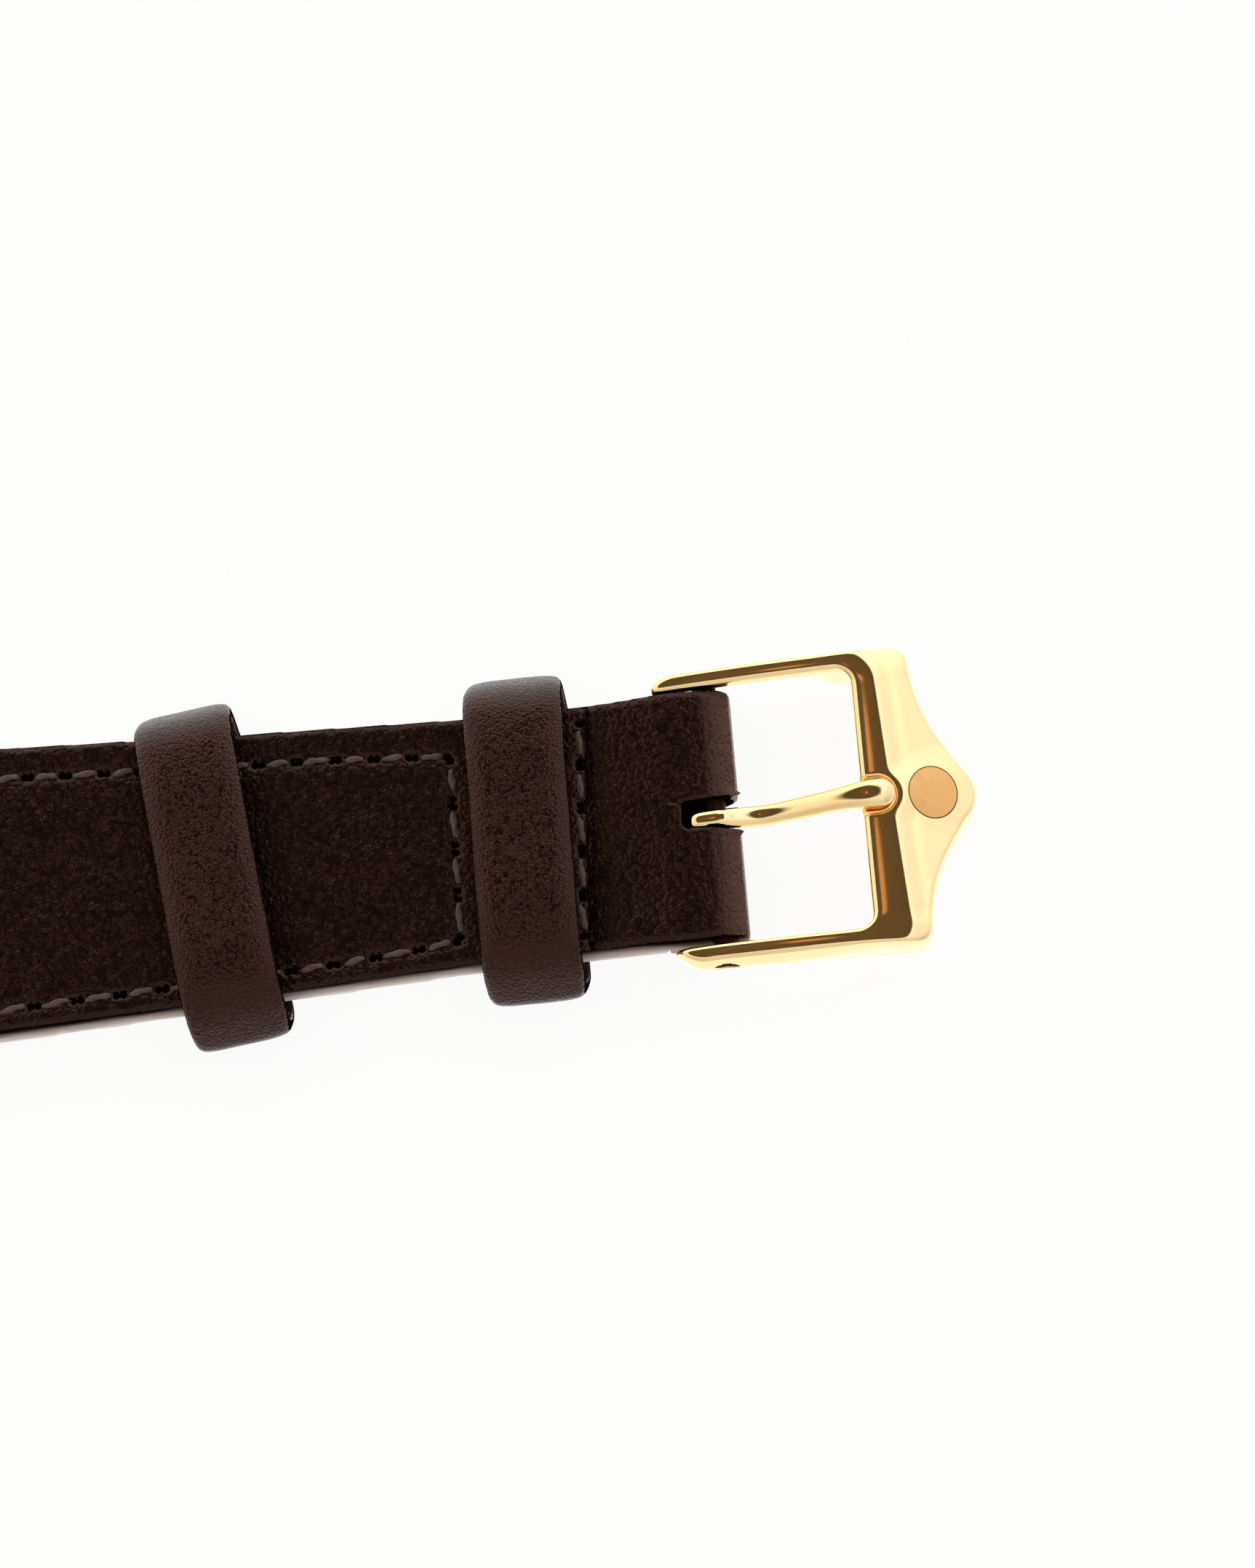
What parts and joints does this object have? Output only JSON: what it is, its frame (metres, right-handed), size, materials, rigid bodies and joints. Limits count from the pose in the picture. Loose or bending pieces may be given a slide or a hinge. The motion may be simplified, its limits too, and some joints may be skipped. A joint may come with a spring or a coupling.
{
  "type": "wristwatch",
  "caption": "Round quartz wristwatch laid open on a two-piece grained leather strap, with leather keepers and a polished tang buckle with a pointed front bar.",
  "frame": {"origin": "middle of the case back's flat face, on the table the watch lies on", "axes": "+Y towards 12 o'clock and the buckle, +X towards 3 o'clock and the crown, +Z out of the dial"},
  "size_m": [0.0427, 0.2469, 0.0088],
  "materials": {
    "gold_plate": "polished gold plating on metal",
    "steel": "satin stainless steel",
    "movement_brass": "plain brass",
    "magnet_alloy": "soft magnetic alloy",
    "copper_wire": "enamelled copper wire",
    "circuit_laminate": "printed circuit laminate",
    "black_resin": "moulded resin",
    "ring_plastic": "moulded acetal",
    "seal_rubber": "moulded seal",
    "glass": "polished mineral glass",
    "dial_paint": "satin lacquered brass",
    "strap_leather": "grained dark brown leather",
    "lining_leather": "smooth brown lining leather",
    "keeper_leather": "folded dark brown leather"
  },
  "bodies": {
    "head": {"case_body": "gold_plate", "bezel": "gold_plate", "crystal": "glass", "crystal_gasket": "ring_plastic", "dial_ring": "dial_paint", "dial": "dial_paint", "hour_markers": "gold_plate", "main_plate": "movement_brass", "train_bridge": "steel", "bridge_screws": "steel", "stator": "magnet_alloy", "coil_core": "magnet_alloy", "coil": "copper_wire", "circuit_board": "circuit_laminate", "quartz_can": "steel", "ic_chip": "black_resin", "battery": "steel", "movement_ring": "ring_plastic", "crown_tube": "gold_plate", "case_back": "steel", "case_back_gasket": "seal_rubber", "spring_bar_12": "steel", "spring_bar_6": "steel"},
    "minute": {"centre_wheel": "movement_brass", "minute_hand": "gold_plate"},
    "hour": {"hour_wheel": "movement_brass", "hour_hand": "gold_plate"},
    "motion_wheel": {"minute_wheel": "movement_brass"},
    "intermediate": {"intermediate_wheel": "movement_brass"},
    "rotor": {"rotor": "magnet_alloy"},
    "lever": {"setting_lever": "steel"},
    "crown": {"crown": "gold_plate", "stem": "steel", "crown_gasket": "seal_rubber"},
    "short_strap": {"short_strap_upper": "strap_leather", "short_strap_lining": "lining_leather", "fixed_keeper": "keeper_leather"},
    "free_keeper": {"free_keeper": "keeper_leather"},
    "buckle": {"buckle_frame": "gold_plate", "buckle_pin": "steel"},
    "tongue": {"buckle_tongue": "gold_plate"},
    "long_strap": {"long_strap_upper": "strap_leather", "long_strap_lining": "lining_leather"}
  },
  "joints": [
    {"name": "minute_turn", "type": "hinge", "parent": "head", "child": "minute", "pos_m": [0, 0, 0.003], "axis": [0, 0, -1], "continuous": true},
    {"name": "hour_turn", "type": "hinge", "parent": "head", "child": "hour", "pos_m": [0, 0, 0.003], "axis": [0, 0, -1], "continuous": true},
    {"name": "motion_wheel_turn", "type": "hinge", "parent": "head", "child": "motion_wheel", "pos_m": [0.003, 0, 0.003], "axis": [0, 0, -1], "continuous": true},
    {"name": "intermediate_turn", "type": "hinge", "parent": "head", "child": "intermediate", "pos_m": [-0.00247, -0.00247, 0.003], "axis": [0, 0, -1], "continuous": true},
    {"name": "rotor_turn", "type": "hinge", "parent": "head", "child": "rotor", "pos_m": [-0.00577, -0.00247, 0.003], "axis": [0, 0, -1], "continuous": true},
    {"name": "crown_pull", "type": "slide", "parent": "head", "child": "lever", "axis": [1, 0, 0], "range_m": [0, 0.0008]},
    {"name": "crown_turn", "type": "hinge", "parent": "lever", "child": "crown", "pos_m": [0.0216, 0, 0.0039], "axis": [1, 0, 0], "continuous": true},
    {"name": "short_strap_hinge", "type": "hinge", "parent": "head", "child": "short_strap", "pos_m": [0, 0.022, 0.0032], "axis": [1, 0, 0], "range_deg": [-85, 75]},
    {"name": "long_strap_hinge", "type": "hinge", "parent": "head", "child": "long_strap", "pos_m": [0, -0.022, 0.0032], "axis": [-1, 0, 0], "range_deg": [-85, 75]},
    {"name": "free_keeper_slide", "type": "slide", "parent": "short_strap", "child": "free_keeper", "axis": [0, 1, 0], "range_m": [-0.0015, 0.0115]},
    {"name": "buckle_hinge", "type": "hinge", "parent": "short_strap", "child": "buckle", "pos_m": [0, 0.0954, 0.0028], "axis": [1, 0, 0], "range_deg": [-90, 60]},
    {"name": "tongue_hinge", "type": "hinge", "parent": "buckle", "child": "tongue", "pos_m": [0, 0.0954, 0.0028], "axis": [1, 0, 0], "range_deg": [0, 50]}
  ],
  "couplings": [
    {"joint": "hour_turn", "follows": "minute_turn", "ratio": 0.083333},
    {"joint": "motion_wheel_turn", "follows": "minute_turn", "ratio": -0.33333},
    {"joint": "intermediate_turn", "follows": "minute_turn", "ratio": -6},
    {"joint": "rotor_turn", "follows": "minute_turn", "ratio": 60}
  ]
}
